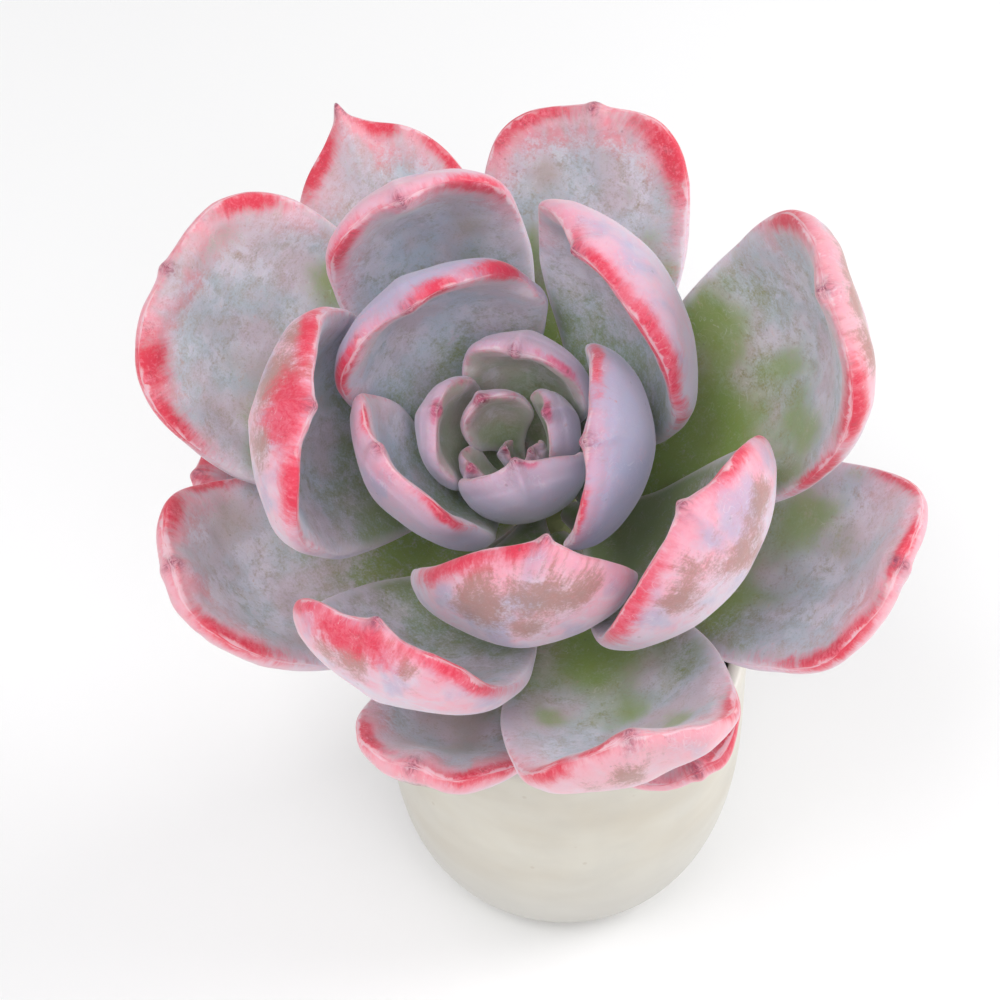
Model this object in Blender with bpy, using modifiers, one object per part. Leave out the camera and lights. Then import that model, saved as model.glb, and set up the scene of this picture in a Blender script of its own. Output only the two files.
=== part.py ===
"""A rosette succulent in a small round pot: pot, potting mix, stem and one solid for each leaf.

The origin is the centre of the pot's foot and +Z is up. Lengths are in metres.
"""

from math import asin, cos, exp, hypot, pi, radians, sin, sqrt

import bpy
from mathutils import Vector

MM = 0.001
GAP = 0.3 * MM  # clearance between solids that touch

# Pot
POT_RADIUS = 26.8 * MM  # at the widest place
POT_HEIGHT = 50 * MM
POT_WIDEST = 28 * MM  # height of the widest place
FOOT_RADIUS = 16.5 * MM
MOUTH_RADIUS = 26.4 * MM
WALL = 2.6 * MM
FLOOR = 4.0 * MM
FLOOR_CORNER = 6.0 * MM  # the inside rounds into the floor over this height
POT_SIDES = 40
DRAIN_RADIUS = 1.8 * MM
DRAIN_CIRCLE = 9.0 * MM
DRAIN_COUNT = 4

# Potting mix
SOIL_EDGE = 43.5 * MM
SOIL_CROWN = 45.5 * MM
SOIL_SIDES = 32
SOCKET_LENGTH = 18.0 * MM  # cutter for the stem's socket, from the stem's foot to clear of the mix

# Stem: it rises from the mix and turns at the crown towards the rosette's axis
STEM_FOOT = Vector((-0.5, 8.0, 37.5)) * MM
STEM_BEND = Vector((-0.5, 8.5, 55.0)) * MM
CROWN = Vector((-2.5, 9.0, 66.0)) * MM
AXIS = Vector((-0.200, -0.300, 0.932)).normalized()
STEM_RADIUS = 5.0 * MM
CROWN_RISE = 20.0 * MM  # height of the leaf-bearing part
CROWN_RADIUS = 6.1 * MM  # where the lowest leaf joins
TIP_RADIUS = 0.7 * MM
CROWN_START = 2 * MM  # the straight crown starts this far below the lowest leaf
CROWN_PULL = 7 * MM  # how far the stem's curve follows the crown's axis below that

# Leaves: one new leaf each golden angle round the crown, numbered from the lowest
GOLDEN_ANGLE = 137.5
YOUNGEST_AZIMUTH = 196.0
LEAF_THICKNESS = 4.0 * MM
EDGE_THICKNESS = 0.5 * MM
BASE_THICKNESS = 1.5 * MM
WIDEST = 0.62  # place along the leaf
BASE_SHARE = 0.4  # half width at the joint, as a share of the crown's radius there
MIDRIB_REACH = 1.2  # the midrib is traced a little past the blade, for the point
MIDRIB_STEPS = 240
RING_STARTS = (11, 20)  # first leaf of the middle ring and of the inner ring
GRID_COLUMNS = 6
GRID_ROWS = 10

# Each leaf's own growth, lowest first: turn off the spiral in degrees, length and half width in
# millimetres, slope at its base and at its tip in degrees, sideways lean of the tip and length of
# the drawn-out point in millimetres.
LEAVES = (
    (-12, 45, 10.0, 3, 50, 0, 1.5),
    (5, 46, 12.0, 6, 50, 0, 1.5),
    (0, 31, 11.0, 8, 60, 0, 1.5),
    (-4, 48, 12.5, 7, 76, 0, 1.5),
    (3, 58, 14.5, 10, 36, -6, 4.5),
    (-5, 57, 15.5, 13, 56, 0, 1.5),
    (-2, 56, 15.5, 14, 84, 0, 1.5),
    (10, 52, 15.0, 18, 56, 0, 1.5),
    (-2, 60, 15.5, 16, 80, 3, 1.5),
    (2, 61, 19.5, 22, 72, 0, 1.5),
    (0, 65, 18.5, 23, 102, -4, 1.5),
    (9, 57, 15.0, 25, 112, 1.5, 2.0),
    (14, 53, 14.0, 30, 118, 0, 2.0),
    (1, 59, 17.0, 28, 114, -1.5, 2.0),
    (-7, 55, 18.0, 34, 140, 5, 2.0),
    (-11, 47, 16.5, 36, 130, 6, 2.0),
    (-3, 51, 15.0, 34, 124, 10, 2.0),
    (-11, 42, 15.5, 44, 132, 3, 1.5),
    (0, 39, 15.5, 50, 120, -8, 1.5),
    (-3, 35, 13.0, 48, 112, -2, 1.5),
    (-5, 26, 9.5, 56, 122, 0, 1.5),
    (-16, 23, 9.0, 60, 110, 0, 1.5),
    (5, 24, 8.0, 54, 122, 1, 1.2),
    (-10, 19, 5.5, 64, 115, -1, 1.2),
    (-24, 15, 4.5, 63, 90, 0, 1.2),
    (9, 17, 5.0, 69, 110, 1, 1.2),
    (-13, 9, 2.8, 78, 95, 0, 0.8),
    (0, 7, 1.8, 84, 95, 0, 0.6),
)


def clear_scene():
    for obj in list(bpy.data.objects):
        bpy.data.objects.remove(obj, do_unlink=True)


def new_collection(name):
    collection = bpy.data.collections.new(name)
    bpy.context.scene.collection.children.link(collection)
    return collection


def material(name, colour, roughness):
    made = bpy.data.materials.new(name)
    made.use_nodes = True
    shader = made.node_tree.nodes["Principled BSDF"]
    shader.inputs["Base Color"].default_value = (*colour, 1.0)
    shader.inputs["Roughness"].default_value = roughness
    shader.inputs["Metallic"].default_value = 0.0
    return made


def smooth_step(x):
    x = min(max(x, 0.0), 1.0)
    return x * x * (3 - 2 * x)


def blend(low, high, amount):
    return low + (high - low) * amount


def turned(name, profile, steps, collection):
    """A solid turned about Z from (radius, height) points, the outer side listed top to bottom."""
    mesh = bpy.data.meshes.new(name)
    points = [(radius, 0.0, height) for radius, height in profile]
    edges = [(i, i + 1) for i in range(len(points) - 1)]
    mesh.from_pydata(points, edges, [])
    obj = bpy.data.objects.new(name, mesh)
    collection.objects.link(obj)
    screw = obj.modifiers.new("Turn", "SCREW")
    screw.steps = steps
    screw.render_steps = steps
    screw.use_merge_vertices = True
    screw.merge_threshold = 0.00005
    screw.use_smooth_shade = True
    return obj


def cut(obj, cutter):
    boolean = obj.modifiers.new("Cut " + cutter.name, "BOOLEAN")
    boolean.operation = "DIFFERENCE"
    boolean.object = cutter


def rod_cutter(name, place, radius, length, collection):
    """A plain cylinder standing on its place, kept out of the model."""
    bpy.ops.mesh.primitive_cylinder_add(vertices=20, radius=radius, depth=length)
    cutter = bpy.context.object
    cutter.name = name
    cutter.location = Vector(place) + Vector((0, 0, length / 2))
    cutter.hide_render = True
    cutter.display_type = "WIRE"
    for other in list(cutter.users_collection):
        other.objects.unlink(cutter)
    collection.objects.link(cutter)
    return cutter


# Pot and potting mix


def outer_radius(height):
    """The pot's belly: a round foot that swells to the widest place and draws in a little to the mouth."""
    if height < POT_WIDEST:
        start = asin(FOOT_RADIUS / POT_RADIUS)
        turn = blend(start, pi / 2, (height / POT_WIDEST) ** 0.62)
        return POT_RADIUS * sin(turn)
    above = (height - POT_WIDEST) / (POT_HEIGHT - POT_WIDEST)
    return blend(POT_RADIUS, MOUTH_RADIUS, smooth_step(above))


def inner_radius(height):
    """The inside of the wall, which rounds into the floor."""
    lift = max(0.0, 1 - (height - FLOOR) / FLOOR_CORNER)
    return outer_radius(height) - WALL - FLOOR_CORNER * 0.35 * lift * lift


def build_pot(collection, cutters, glaze):
    """Up the inside of the wall, over the round lip and down the outside to the flat foot."""
    lip = WALL / 2
    lip_height = POT_HEIGHT - lip
    profile = [(0.0, FLOOR)]
    inside_steps = 9
    for i in range(inside_steps + 1):
        height = blend(FLOOR, lip_height, (i / inside_steps) ** 1.3)
        profile.append((inner_radius(height), height))
    middle = outer_radius(lip_height) - lip
    lip_steps = 6
    for i in range(1, lip_steps):
        turn = pi * i / lip_steps
        profile.append((middle - lip * cos(turn), lip_height + lip * sin(turn)))
    outside_steps = 14
    for i in range(outside_steps + 1):
        height = blend(lip_height, 0.0, (i / outside_steps) ** 0.75)
        profile.append((outer_radius(height), height))
    profile.append((0.0, 0.0))
    pot = turned("pot", profile, POT_SIDES, collection)
    for i in range(DRAIN_COUNT):
        turn = 2 * pi * (i + 0.5) / DRAIN_COUNT
        below = (DRAIN_CIRCLE * cos(turn), DRAIN_CIRCLE * sin(turn), -FLOOR)
        cut(pot, rod_cutter(f"drain_cutter_{i + 1}", below, DRAIN_RADIUS, 3 * FLOOR, cutters))
    pot.data.materials.append(glaze)


def build_soil(collection, cutters, mix):
    """The packed root ball, a little domed on top, with the socket that the stem stands in."""
    profile = []
    edge = inner_radius(SOIL_EDGE) - GAP
    top_steps = 6
    for i in range(top_steps + 1):
        out = i / top_steps
        profile.append((edge * out, blend(SOIL_CROWN, SOIL_EDGE, out**2.5)))
    bottom = FLOOR + GAP
    side_steps = 8
    for i in range(1, side_steps + 1):
        height = blend(SOIL_EDGE, bottom, (i / side_steps) ** 0.8)
        profile.append((inner_radius(height) - 1.6 * GAP, height))
    profile.append((0.0, bottom))
    soil = turned("potting_mix", profile, SOIL_SIDES, collection)
    foot = STEM_FOOT - Vector((0, 0, GAP))
    socket_radius = STEM_RADIUS + 2 * GAP
    cut(soil, rod_cutter("stem_socket_cutter", foot, socket_radius, SOCKET_LENGTH, cutters))
    soil.data.materials.append(mix)


# Stem


def joint_radius(rise):
    """How far from the crown's axis a leaf joins, at this height above the lowest leaf."""
    left = max(0.0, 1 - rise / CROWN_RISE)
    return TIP_RADIUS + (CROWN_RADIUS - TIP_RADIUS) * left**0.8


def build_stem(collection, bark):
    """Points on a smooth curve from the mix to the crown, then straight along the crown's axis."""
    start = CROWN - AXIS * CROWN_START
    before = start - AXIS * CROWN_PULL
    centres = []
    lower_steps = 9
    for i in range(lower_steps):
        t = i / lower_steps
        ends = STEM_FOOT * (1 - t) ** 3 + start * t**3
        pull = STEM_BEND * 3 * t * (1 - t) ** 2 + before * 3 * t * t * (1 - t)
        centres.append((ends + pull, STEM_RADIUS))
    upper_steps = 11
    for i in range(upper_steps + 1):
        rise = blend(-CROWN_START, CROWN_RISE - TIP_RADIUS, i / upper_steps)
        centres.append((CROWN + AXIS * rise, joint_radius(max(rise, 0.0)) - 2 * GAP))
    curve = bpy.data.curves.new("stem", "CURVE")
    curve.dimensions = "3D"
    curve.bevel_depth = 1.0
    curve.bevel_resolution = 2
    curve.use_fill_caps = True
    spline = curve.splines.new("POLY")
    spline.points.add(len(centres) - 1)
    for point, (centre, radius) in zip(spline.points, centres):
        point.co = (*centre, 1.0)
        point.radius = radius
    stem = bpy.data.objects.new("stem", curve)
    collection.objects.link(stem)
    curve.materials.append(bark)


# Leaves


class Leaf:
    """One leaf: a spoon-shaped blade that leaves the crown at its own slope and curls in at the tip."""

    def __init__(self, index, values):
        turn, length, half_width, base_slope, tip_slope, lean, point = values
        age = index / (len(LEAVES) - 1)  # 0 for the oldest leaf, 1 for the youngest
        self.azimuth = radians(YOUNGEST_AZIMUTH + GOLDEN_ANGLE * (len(LEAVES) - 1 - index) + turn)
        self.rise = (0.6 + 0.6 * index + 0.0033 * index * index) * MM
        self.length = length * MM
        self.half_width = half_width * MM
        self.base_slope = radians(base_slope)
        self.tip_slope = radians(tip_slope)
        self.lean = lean * MM
        self.point = point * MM
        self.cup = radians(26 + 34 * smooth_step(age * 1.12))
        self.pinch = 1.4 * MM * smooth_step(1.3 - 1.4 * age)
        self.thickness = LEAF_THICKNESS * (1 - 0.7 * age**3)
        self.outward = self.crown_direction()
        self.across = AXIS.cross(self.outward)
        self.foot = CROWN + AXIS * self.rise + self.outward * joint_radius(self.rise)
        self.midrib = self.trace_midrib()

    def crown_direction(self):
        right = (Vector((1, 0, 0)) - AXIS * AXIS.x).normalized()
        forward = AXIS.cross(right)
        return right * cos(self.azimuth) + forward * sin(self.azimuth)

    def slope(self, along):
        curl = 0.3 * along + 0.7 * smooth_step((along - 0.45) / 0.55)
        return blend(self.base_slope, self.tip_slope, curl)

    def trace_midrib(self):
        """Distance out from the crown and height along its axis, at even steps along the midrib."""
        out, up = 0.0, 0.0
        trace = [(out, up)]
        step = MIDRIB_REACH / MIDRIB_STEPS
        for i in range(MIDRIB_STEPS):
            angle = self.slope(step * (i + 0.5))
            out += cos(angle) * self.length * step
            up += sin(angle) * self.length * step
            trace.append((out, up))
        return trace

    def midrib_at(self, along):
        place = along / MIDRIB_REACH * MIDRIB_STEPS
        i = min(int(place), MIDRIB_STEPS - 1)
        (out_a, up_a), (out_b, up_b) = self.midrib[i : i + 2]
        return blend(out_a, out_b, place - i), blend(up_a, up_b, place - i)

    def outline(self, column, row):
        """Blade coordinates of a grid place, both from -1 to 1: side, along, edge nearness and tip lift.

        The lower half of the grid is the tapering stalk of the leaf. The upper half is mapped
        onto half a rounded square, so the margin runs round the tip without a corner.
        """
        upper = max(row, 0.0)
        x = column * sqrt(1 - upper * upper / 2)
        y = upper * sqrt(1 - column * column / 2)
        nearness = min(1.0, hypot(x, y))
        squared = (abs(x) ** 2.8 + y**2.8) ** (1 / 2.8)
        if squared > 1e-9:
            x *= nearness / squared
            y *= nearness / squared
        low = 1 + min(row, 0.0)
        base = BASE_SHARE * joint_radius(self.rise)
        side = x * blend(base, self.half_width, smooth_step(low) ** 0.9)
        along = WIDEST * low + (1 - WIDEST) * y
        near_middle = exp(-((side / (0.22 * self.half_width)) ** 2))
        at_point = near_middle * smooth_step((along - 0.72) / 0.28)
        along += self.point / self.length * at_point
        return side, along, nearness, self.pinch * at_point

    def place(self, side, along, lift):
        """The point of the inner face at these blade coordinates."""
        spread = smooth_step(along / 0.45) * (1 - 0.4 * smooth_step((along - 0.7) / 0.3))
        bend = max(self.cup * spread, 1e-4) / self.half_width
        across = sin(bend * side) / bend + self.lean * along**2
        inward = (1 - cos(bend * side)) / bend + lift
        out, up = self.midrib_at(along)
        angle = self.slope(along)
        out -= sin(angle) * inward
        up += cos(angle) * inward
        return self.foot + self.outward * out + AXIS * up + self.across * across

    def thickness_at(self, along, nearness):
        base = min(BASE_THICKNESS, self.thickness)
        middle = blend(base, self.thickness, smooth_step(along / 0.45))
        return EDGE_THICKNESS + (middle - EDGE_THICKNESS) * sqrt(max(0.0, 1 - nearness**2.5))


def build_leaf(name, leaf, collection, skin):
    """The inner face is a bent grid. Solidify gives it flesh on the outer side, thin at the margin."""
    bpy.ops.mesh.primitive_grid_add(x_subdivisions=GRID_COLUMNS, y_subdivisions=GRID_ROWS, size=2)
    obj = bpy.context.object
    obj.name = name
    obj.data.name = name
    flesh = obj.vertex_groups.new(name="flesh")
    for vertex in obj.data.vertices:
        side, along, nearness, lift = leaf.outline(vertex.co.x, vertex.co.y)
        vertex.co = leaf.place(side, along, lift)
        share = leaf.thickness_at(along, nearness) / leaf.thickness
        flesh.add([vertex.index], share, "REPLACE")
    obj.data.shade_smooth()
    solidify = obj.modifiers.new("Flesh", "SOLIDIFY")
    solidify.thickness = leaf.thickness
    solidify.offset = 1.0
    solidify.vertex_group = flesh.name
    solidify.use_rim = True
    for other in list(obj.users_collection):
        other.objects.unlink(obj)
    collection.objects.link(obj)
    obj.data.materials.append(skin)


def main():
    clear_scene()
    parts = new_collection("potted_succulent")
    cutters = new_collection("cutters")
    build_pot(parts, cutters, material("glazed_pot", (0.80, 0.78, 0.71), 0.30))
    build_soil(parts, cutters, material("potting_mix", (0.09, 0.06, 0.04), 0.95))
    build_stem(parts, material("stem", (0.42, 0.36, 0.26), 0.80))
    skins = (
        material("outer_leaf", (0.52, 0.42, 0.42), 0.60),
        material("middle_leaf", (0.60, 0.50, 0.53), 0.60),
        material("inner_leaf", (0.50, 0.50, 0.47), 0.60),
    )
    for index, values in enumerate(LEAVES):
        ring = sum(index >= first for first in RING_STARTS)
        build_leaf(f"leaf_{index + 1:02d}", Leaf(index, values), parts, skins[ring])


main()
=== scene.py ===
"""The looks of a potted rosette succulent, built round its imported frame. Lengths are in metres."""

from math import asin, cos, exp, hypot, pi, radians, sin, sqrt

import bmesh
import bpy
import numpy as np
from mathutils import Matrix, Vector, noise


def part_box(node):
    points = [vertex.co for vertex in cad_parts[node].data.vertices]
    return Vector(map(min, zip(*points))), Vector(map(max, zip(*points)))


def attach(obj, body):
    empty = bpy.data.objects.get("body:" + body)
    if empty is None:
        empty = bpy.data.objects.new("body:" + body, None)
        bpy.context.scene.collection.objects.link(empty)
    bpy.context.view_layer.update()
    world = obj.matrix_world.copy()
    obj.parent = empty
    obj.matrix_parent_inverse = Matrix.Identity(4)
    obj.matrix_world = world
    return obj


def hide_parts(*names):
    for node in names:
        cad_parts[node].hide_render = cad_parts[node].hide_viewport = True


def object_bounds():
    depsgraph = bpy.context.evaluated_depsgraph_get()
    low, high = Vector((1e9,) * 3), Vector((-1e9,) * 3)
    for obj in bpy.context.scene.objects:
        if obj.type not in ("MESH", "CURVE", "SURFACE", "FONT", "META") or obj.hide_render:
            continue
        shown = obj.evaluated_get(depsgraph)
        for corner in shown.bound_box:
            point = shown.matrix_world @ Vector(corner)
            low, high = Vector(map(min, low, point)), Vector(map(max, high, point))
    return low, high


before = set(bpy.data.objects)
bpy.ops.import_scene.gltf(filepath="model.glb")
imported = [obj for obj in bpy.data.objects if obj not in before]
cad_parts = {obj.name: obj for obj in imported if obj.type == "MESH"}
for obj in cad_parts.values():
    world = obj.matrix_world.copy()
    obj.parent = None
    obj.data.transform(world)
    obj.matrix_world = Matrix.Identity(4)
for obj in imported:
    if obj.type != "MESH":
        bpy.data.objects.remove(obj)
cad_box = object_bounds()

MM = 0.001


# --- Pot -------------------------------------------------------------------------------------
# A small round pot, slip-cast in white clay and dipped in an off-white glaze. The glaze is wiped
# off the flat underside that the pot stands on. Its colour has a painted highlight on the lip and
# painted shade towards the foot. The drain holes are pushed through the floor before firing.

POT_LOW, POT_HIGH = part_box("pot")
POT_RADIUS = (POT_HIGH.x - POT_LOW.x) / 2
POT_HEIGHT = POT_HIGH.z - POT_LOW.z
POT_WIDEST = 0.56 * POT_HEIGHT
FOOT_RADIUS = 16.5 * MM
MOUTH_RADIUS = 26.4 * MM
WALL = 2.6 * MM
FLOOR_THICKNESS = 4.0 * MM
FLOOR_CORNER = 6.0 * MM
DRAIN_RADIUS = 1.8 * MM
DRAIN_CIRCLE = 9.0 * MM
DRAIN_COUNT = 4
POT_SIDES = 144
GLAZE_LIGHT = (214, 210, 198)
GLAZE_WARM = (206, 199, 184)
GLAZE_COOL = (190, 188, 182)
LIP_HIGHLIGHT = (238, 236, 229)
PINHOLE = (176, 160, 138)
BISQUE = (214, 196, 172)
BISQUE_GROG = (190, 170, 144)


def linear(colour):
    """A colour given as on a paint card, 0 to 255, as the linear values that the shader takes."""
    shares = [c / 255 for c in colour]
    return (*[s / 12.92 if s < 0.04045 else ((s + 0.055) / 1.055) ** 2.4 for s in shares], 1.0)


class Wire:
    """A shader socket that takes arithmetic: each operator adds the Math node that works it out."""

    def __init__(self, socket):
        self.socket = socket

    def math(self, operation, *values, clamp=False):
        made = self.socket.id_data.nodes.new("ShaderNodeMath")
        made.operation = operation
        made.use_clamp = clamp
        for socket, value in zip(made.inputs, values):
            if isinstance(value, Wire):
                self.socket.id_data.links.new(value.socket, socket)
            else:
                socket.default_value = value
        return Wire(made.outputs[0])

    def __add__(self, other):
        return self.math("ADD", self, other)

    def __radd__(self, other):
        return self.math("ADD", other, self)

    def __sub__(self, other):
        return self.math("SUBTRACT", self, other)

    def __rsub__(self, other):
        return self.math("SUBTRACT", other, self)

    def __mul__(self, other):
        return self.math("MULTIPLY", self, other)

    def __rmul__(self, other):
        return self.math("MULTIPLY", other, self)

    def __truediv__(self, other):
        return self.math("DIVIDE", self, other)

    def __abs__(self):
        return self.math("ABSOLUTE", self)

    def clamped(self):
        return self.math("MULTIPLY", self, 1.0, clamp=True)


class Finish:
    """A material being mixed. node() adds any node but Math, and wear() connects the result."""

    def __init__(self, name, **constants):
        self.material = bpy.data.materials.new(name)
        self.material.use_nodes = True
        self.tree = self.material.node_tree
        self.shader = self.tree.nodes["Principled BSDF"]
        for name, value in constants.items():
            self.shader.inputs[name.replace("_", " ")].default_value = value

    def node(self, kind, settings=None, sockets=None, output=0):
        made = self.tree.nodes.new(kind)
        for name, value in (settings or {}).items():
            setattr(made, name, value)
        for name, value in (sockets or {}).items():
            if isinstance(value, Wire):
                self.tree.links.new(value.socket, made.inputs[name])
            else:
                made.inputs[name].default_value = value
        return Wire(made.outputs[output])

    def attribute(self, name):
        """The three numbers of a vector laid down on the mesh, and the vector itself."""
        vector = self.node("ShaderNodeAttribute", {"attribute_name": name}, output="Vector")
        parts = [self.node("ShaderNodeSeparateXYZ", None, {"Vector": vector}, axis) for axis in "XYZ"]
        return (*parts, vector)

    def stretched(self, vector, scale):
        return self.node("ShaderNodeVectorMath", {"operation": "MULTIPLY"}, {0: vector, 1: scale})

    def noise(self, vector, scale, detail=3.0, rough=0.55, warp=0.0):
        """Cloudy noise from 0 to 1. Scale is in features per unit of the vector."""
        sockets = {"Vector": vector, "Scale": scale, "Detail": detail, "Roughness": rough, "Distortion": warp}
        return self.node("ShaderNodeTexNoise", {"normalize": True}, sockets)

    def ramp(self, value, low, high, start=0.0, end=1.0):
        """Start up to low, then smoothly to end at high."""
        names = ("Value", "From Min", "From Max", "To Min", "To Max")
        sockets = dict(zip(names, (value, low, high, start, end)))
        return self.node("ShaderNodeMapRange", {"interpolation_type": "SMOOTHSTEP"}, sockets)

    def mix(self, share, first, second):
        """A colour between two, each a Wire or a paint-card colour."""
        pair = [c if isinstance(c, Wire) else linear(c) for c in (first, second)]
        sockets = {0: share, 6: pair[0], 7: pair[1]}
        return self.node("ShaderNodeMix", {"data_type": "RGBA", "clamp_result": True}, sockets, 2)

    def wear(self, colour, roughness=None, heights=()):
        """Heights are (height, strength, distance) from the coarsest relief to the finest."""
        links = {"Base Color": colour, "Roughness": roughness}
        normal = None
        for height, strength, distance in heights:
            sockets = {"Height": height, "Strength": strength, "Distance": distance}
            if normal is not None:
                sockets["Normal"] = normal
            normal = self.node("ShaderNodeBump", None, sockets)
        links["Normal"] = normal
        for name, value in links.items():
            if value is not None:
                self.tree.links.new(value.socket, self.shader.inputs[name])
        return self.material


def smooth_step(x):
    x = min(max(x, 0.0), 1.0)
    return x * x * (3 - 2 * x)


def between(low, high, amount):
    return low + (high - low) * amount


def placed(name, mesh, body, nodes, material):
    """Puts a finished mesh in the scene as one piece that stands for these nodes."""
    piece = bpy.data.objects.new(name, mesh)
    bpy.context.scene.collection.objects.link(piece)
    mesh.materials.append(material)
    mesh.shade_smooth()
    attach(piece, body)
    if nodes:
        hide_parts(*nodes)
    return piece


def turned_mesh(name, profile, sides):
    """A closed solid turned about Z from (radius, height) points that start and end on the axis."""
    shape = bmesh.new()
    rings = []
    for radius, height in profile:
        if radius == 0.0:
            rings.append([shape.verts.new((0, 0, height))] * sides)
            continue
        turns = [2 * pi * i / sides for i in range(sides)]
        rings.append([shape.verts.new((radius * cos(t), radius * sin(t), height)) for t in turns])
    for low, high in zip(rings, rings[1:]):
        for i in range(sides):
            corners = [low[i], high[i], high[(i + 1) % sides], low[(i + 1) % sides]]
            shape.faces.new(dict.fromkeys(corners))
    bmesh.ops.recalc_face_normals(shape, faces=shape.faces)
    mesh = bpy.data.meshes.new(name)
    shape.to_mesh(mesh)
    shape.free()
    return mesh


def outer_radius(height):
    """A round foot that swells to the widest place and draws in a little to the mouth."""
    if height < POT_WIDEST:
        start = asin(FOOT_RADIUS / POT_RADIUS)
        return POT_RADIUS * sin(between(start, pi / 2, (height / POT_WIDEST) ** 0.62))
    above = (height - POT_WIDEST) / (POT_HEIGHT - POT_WIDEST)
    return between(POT_RADIUS, MOUTH_RADIUS, smooth_step(above))


def inner_radius(height):
    lift = max(0.0, 1 - (height - FLOOR_THICKNESS) / FLOOR_CORNER)
    return outer_radius(height) - WALL - FLOOR_CORNER * 0.35 * lift * lift


def pot_profile():
    lip = WALL / 2
    lip_height = POT_HEIGHT - lip
    floor = [(0.0, FLOOR_THICKNESS), (5 * MM, FLOOR_THICKNESS), (12 * MM, FLOOR_THICKNESS)]
    inside = [between(FLOOR_THICKNESS, lip_height, (i / 40) ** 1.3) for i in range(41)]
    middle = outer_radius(lip_height) - lip
    rim = [pi * i / 14 for i in range(1, 14)]
    outside = [between(lip_height, 0.6 * MM, (i / 60) ** 0.8) for i in range(61)]
    profile = floor + [(inner_radius(height), height) for height in inside]
    profile += [(middle - lip * cos(turn), lip_height + lip * sin(turn)) for turn in rim]
    profile += [(outer_radius(height), height) for height in outside]
    foot = outer_radius(0.6 * MM)
    profile += [(foot - 0.25 * MM, 0.18 * MM), (foot - 0.7 * MM, 0.0)]
    return profile + [(12 * MM, 0.0), (5 * MM, 0.0), (0.0, 0.0)]


def pierced(mesh, cutters):
    """The mesh with these cutters taken out of it."""
    whole = bpy.data.objects.new(mesh.name + "_whole", mesh)
    bpy.context.scene.collection.objects.link(whole)
    for cutter in cutters:
        hole = whole.modifiers.new(cutter.name, "BOOLEAN")
        hole.object = cutter
    graph = bpy.context.evaluated_depsgraph_get()
    done = bpy.data.meshes.new_from_object(whole.evaluated_get(graph))
    for spent in (whole, *cutters):
        bpy.data.objects.remove(spent, do_unlink=True)
    return done


def drain_cutter(turn):
    place = (DRAIN_CIRCLE * cos(turn), DRAIN_CIRCLE * sin(turn), FLOOR_THICKNESS / 2)
    bpy.ops.mesh.primitive_cylinder_add(
        vertices=40, radius=DRAIN_RADIUS, depth=3 * FLOOR_THICKNESS, location=place
    )
    return bpy.context.object


def glazed_clay():
    """Off-white glaze: warm and cool drifts, pinholes, bare clay underneath, a painted highlight on the lip
    and painted shade at the foot.
    """
    clay = Finish("glazed_clay", IOR=1.5, Specular_IOR_Level=0.5)
    point = clay.node("ShaderNodeTexCoord", output="Object")
    height = clay.node("ShaderNodeSeparateXYZ", None, {"Vector": point}, "Z")
    drift = clay.noise(clay.stretched(point, (1.0, 1.0, 2.2)), 38, 3)
    bloom = clay.noise(point, 120, 4, 0.6)
    cells = clay.node("ShaderNodeTexVoronoi", None, {"Vector": point, "Scale": 150.0})
    pinholes = clay.ramp(cells, 0.03, 0.07)
    colour = clay.mix(clay.ramp(drift, 0.35, 0.7), GLAZE_LIGHT, GLAZE_WARM)
    colour = clay.mix(clay.ramp(bloom, 0.35, 0.75, 0.0, 0.25), colour, GLAZE_COOL)
    # painted shade: the glaze colour darkens towards the foot, as if lit from above
    colour = clay.mix(clay.ramp(height, 0.034, 0.004, 0.0, 0.8), colour, GLAZE_COOL)
    colour = clay.mix((1 - pinholes) * 0.3, colour, PINHOLE)
    # painted highlight: the top of the lip is lightened where it would catch the light
    lip = clay.ramp(height, POT_HEIGHT - 1.1 * MM, POT_HEIGHT - 0.1 * MM, 0.0, 0.4)
    colour = clay.mix(lip, colour, LIP_HIGHLIGHT)
    edge = clay.noise(point, 420, 2) * (0.7 * MM)
    bare = clay.ramp(height + edge, 1.1 * MM, 0.75 * MM)
    grog = clay.noise(point, 1500, 3, 0.7)
    bisque = clay.mix(clay.ramp(grog, 0.35, 0.7), BISQUE, BISQUE_GROG)
    colour = clay.mix(bare, colour, bisque)
    roughness = clay.ramp(drift, 0.3, 0.8, 0.3, 0.38) + bare * 0.4
    ripple = clay.noise(clay.stretched(point, (1.0, 1.0, 3.0)), 60, 2)
    relief = [(ripple, 0.15, 0.5 * MM), (grog * bare - bare, 0.5, 0.15 * MM)]
    return clay.wear(colour, roughness, relief)


pot_mesh = turned_mesh("pot_turned", pot_profile(), POT_SIDES)
for vertex in pot_mesh.vertices:
    sway = noise.noise(vertex.co * 45) * 0.12 * MM * smooth_step(vertex.co.z / (8 * MM))
    vertex.co.xy *= 1 + sway / POT_RADIUS
drains = [drain_cutter(2 * pi * (i + 0.5) / DRAIN_COUNT) for i in range(DRAIN_COUNT)]
pot_mesh = pierced(pot_mesh, drains)
placed("glazed_pot", pot_mesh, "root", ["pot"], glazed_clay())
pot_mesh.set_sharp_from_angle(angle=radians(50))


# --- Potting mix -----------------------------------------------------------------------------
# A gritty mix of dark humus, bark chips, pumice and perlite, pressed round the root ball. Its
# side and underside take the shape of the pot, and loose grains lie on its domed top.

MIX_LOW, MIX_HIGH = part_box("potting_mix")
MIX_EDGE = 43.5 * MM
MIX_SIDES = 120
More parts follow.
